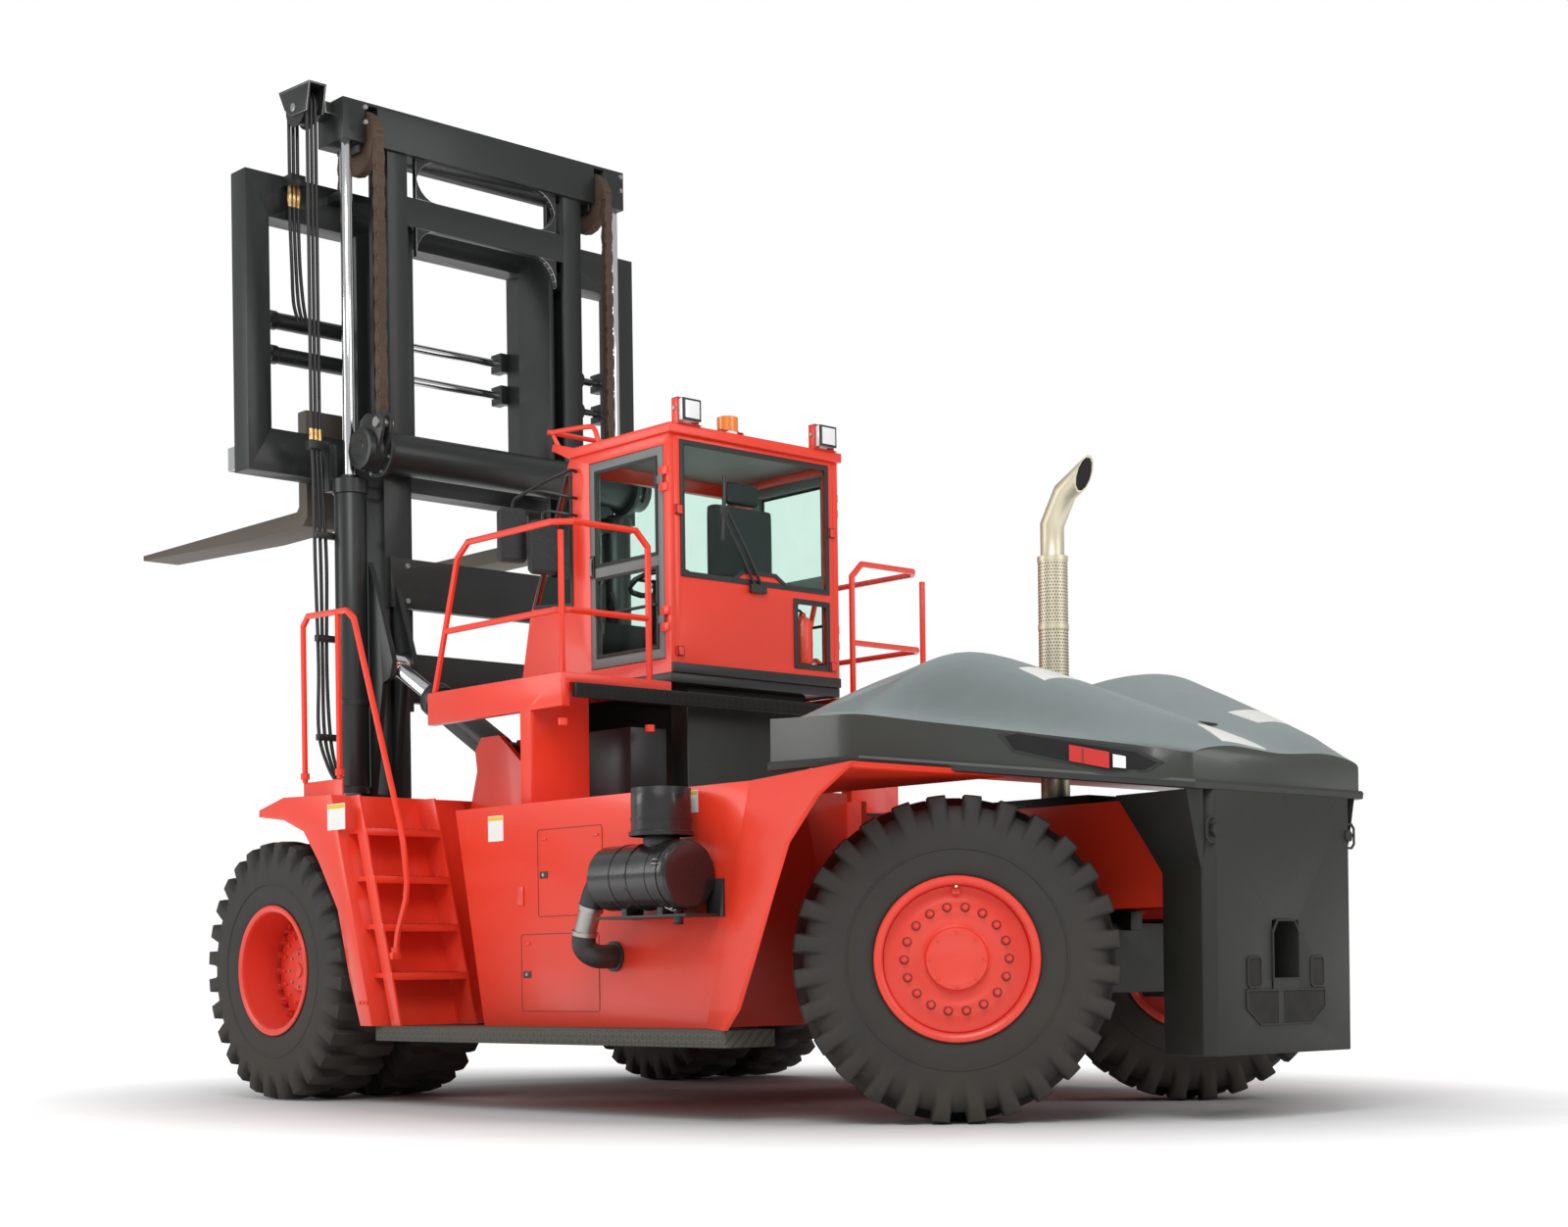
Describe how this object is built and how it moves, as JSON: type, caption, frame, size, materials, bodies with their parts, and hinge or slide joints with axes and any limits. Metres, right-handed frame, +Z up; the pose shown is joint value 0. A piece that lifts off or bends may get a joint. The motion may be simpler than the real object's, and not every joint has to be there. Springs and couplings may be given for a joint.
{
  "type": "heavy diesel forklift truck",
  "caption": "Heavy counterbalanced diesel forklift with a two-stage mast raised, wide fork carriage, high cab, twin front tyres and steered rear wheels.",
  "frame": {"origin": "on the floor under the middle of the bounding box", "axes": "+X towards the fork tips, +Y to the left of the truck, +Z up"},
  "size_m": [9.82, 4.25, 6.7392],
  "materials": {
    "body_paint": "satin orange-red paint",
    "mast_paint": "dark charcoal paint",
    "hood_paint": "grey-green paint",
    "cast_dark": "olive-black paint on cast iron",
    "tyre": "black rubber with dust",
    "wheel_paint": "red paint",
    "chrome": "chromed rod",
    "chain_steel": "oiled, rusty chain plate",
    "black_plastic": "black moulding",
    "rubber": "black rubber",
    "stainless": "heat-tinted stainless steel",
    "glass": "pale green tinted glass",
    "fabric": "black woven seat cloth",
    "lamp_lens": "clear and coloured lenses",
    "fork_steel": "dark forged steel, brown below"
  },
  "bodies": {
    "chassis": {"chassis_frame": "body_paint", "rear_axle": "cast_dark", "front_axle": "cast_dark", "counterweight": "cast_dark", "hood": "hood_paint", "engine_block": "cast_dark", "left_side_body": "body_paint", "right_side_body": "body_paint", "front_fenders": "body_paint", "ladders": "body_paint", "running_boards": "cast_dark", "cab_left_side": "body_paint", "cab_right_side": "body_paint", "cab_rear_wall": "body_paint", "cab_front_panel": "body_paint", "cab_roof": "body_paint", "cab_floor": "body_paint", "cab_base": "black_plastic", "cab_glass": "glass", "seat": "fabric", "steering_console": "black_plastic", "cab_lamps": "lamp_lens", "cab_support": "cast_dark", "platforms": "body_paint", "handrails": "body_paint", "air_cleaner": "black_plastic", "air_intake_pipe": "rubber", "exhaust_stack": "stainless", "valve_block": "cast_dark"},
    "door_left": {"left_door": "black_plastic", "left_door_glass": "glass"},
    "door_right": {"right_door": "black_plastic", "right_door_glass": "glass"},
    "wheel_front_left": {"front_left_tyres": "tyre", "front_left_rims": "wheel_paint"},
    "wheel_front_right": {"front_right_tyres": "tyre", "front_right_rims": "wheel_paint"},
    "knuckle_left": {"left_knuckle": "cast_dark"},
    "knuckle_right": {"right_knuckle": "cast_dark"},
    "wheel_rear_left": {"rear_left_tyre": "tyre", "rear_left_rim": "wheel_paint"},
    "wheel_rear_right": {"rear_right_tyre": "tyre", "rear_right_rim": "wheel_paint"},
    "mast_outer": {"outer_mast": "mast_paint", "lift_cylinders": "mast_paint"},
    "mast_inner": {"inner_mast": "mast_paint", "lift_rods": "chrome", "lift_chains": "chain_steel", "chain_sheaves": "body_paint"},
    "carriage": {"carriage": "mast_paint", "fork_shaft": "chrome", "carriage_chains": "chain_steel"},
    "fork_left": {"left_fork": "fork_steel"},
    "fork_right": {"right_fork": "fork_steel"},
    "tilt_barrel_left": {"left_tilt_barrel": "mast_paint"},
    "tilt_barrel_right": {"right_tilt_barrel": "mast_paint"},
    "tilt_rod_left": {"left_tilt_rod": "chrome"},
    "tilt_rod_right": {"right_tilt_rod": "chrome"}
  },
  "joints": [
    {"name": "mast_tilt", "type": "hinge", "parent": "chassis", "child": "mast_outer", "pos_m": [1.72, 0, 0.64], "axis": [0, 1, 0], "range_deg": [-10, 6]},
    {"name": "mast_lift", "type": "slide", "parent": "mast_outer", "child": "mast_inner", "axis": [0, 0, 1], "range_m": [-1.92, 0], "deforming": ["lift_chains"]},
    {"name": "carriage_lift", "type": "slide", "parent": "mast_inner", "child": "carriage", "axis": [0, 0, 1], "range_m": [-1.92, 0], "deforming": ["carriage_chains"]},
    {"name": "left_fork_shift", "type": "slide", "parent": "carriage", "child": "fork_left", "axis": [0, 1, 0], "range_m": [-0.5, 0.45]},
    {"name": "right_fork_shift", "type": "slide", "parent": "carriage", "child": "fork_right", "axis": [0, 1, 0], "range_m": [-0.45, 0.5]},
    {"name": "left_tilt_swing", "type": "hinge", "parent": "chassis", "child": "tilt_barrel_left", "pos_m": [0.41, 0.96, 2.18], "axis": [0, 1, 0], "range_deg": [-8, 5.5]},
    {"name": "left_tilt_stroke", "type": "slide", "parent": "tilt_barrel_left", "child": "tilt_rod_left", "axis": [0.8691, 0, 0.4946], "range_m": [-0.36, 0.22]},
    {"name": "right_tilt_swing", "type": "hinge", "parent": "chassis", "child": "tilt_barrel_right", "pos_m": [0.41, -0.96, 2.18], "axis": [0, 1, 0], "range_deg": [-8, 5.5]},
    {"name": "right_tilt_stroke", "type": "slide", "parent": "tilt_barrel_right", "child": "tilt_rod_right", "axis": [0.8691, 0, 0.4946], "range_m": [-0.36, 0.22]},
    {"name": "left_steer", "type": "hinge", "parent": "chassis", "child": "knuckle_left", "pos_m": [-3.55, 1, 0.825], "axis": [0, 0, 1], "range_deg": [-98, 6]},
    {"name": "rear_left_spin", "type": "hinge", "parent": "knuckle_left", "child": "wheel_rear_left", "pos_m": [-3.72984, 1.17366, 0.825], "axis": [-0.7193, 0.6947, 0], "continuous": true},
    {"name": "front_left_spin", "type": "hinge", "parent": "chassis", "child": "wheel_front_left", "pos_m": [1.35, 1.55, 0.825], "axis": [0, 1, 0], "continuous": true},
    {"name": "left_door_swing", "type": "hinge", "parent": "chassis", "child": "door_left", "pos_m": [-0.903, 0.721, 3.3], "axis": [0, 0, 1], "range_deg": [0, 85]},
    {"name": "right_steer", "type": "hinge", "parent": "chassis", "child": "knuckle_right", "pos_m": [-3.55, -1, 0.825], "axis": [0, 0, 1], "range_deg": [-98, 6]},
    {"name": "rear_right_spin", "type": "hinge", "parent": "knuckle_right", "child": "wheel_rear_right", "pos_m": [-3.37017, -1.17366, 0.825], "axis": [-0.7193, 0.6947, 0], "continuous": true},
    {"name": "front_right_spin", "type": "hinge", "parent": "chassis", "child": "wheel_front_right", "pos_m": [1.35, -1.55, 0.825], "axis": [0, 1, 0], "continuous": true},
    {"name": "right_door_swing", "type": "hinge", "parent": "chassis", "child": "door_right", "pos_m": [-0.903, -0.721, 3.3], "axis": [0, 0, 1], "range_deg": [-85, 0]}
  ],
  "couplings": [
    {"joint": "carriage_lift", "follows": "mast_lift", "ratio": 1},
    {"joint": "right_steer", "follows": "left_steer", "ratio": 1},
    {"joint": "left_tilt_swing", "follows": "mast_tilt", "ratio": 0.76},
    {"joint": "left_tilt_stroke", "follows": "mast_tilt", "m_per_rad": 1.99},
    {"joint": "right_tilt_swing", "follows": "mast_tilt", "ratio": 0.76},
    {"joint": "right_tilt_stroke", "follows": "mast_tilt", "m_per_rad": 1.99}
  ]
}
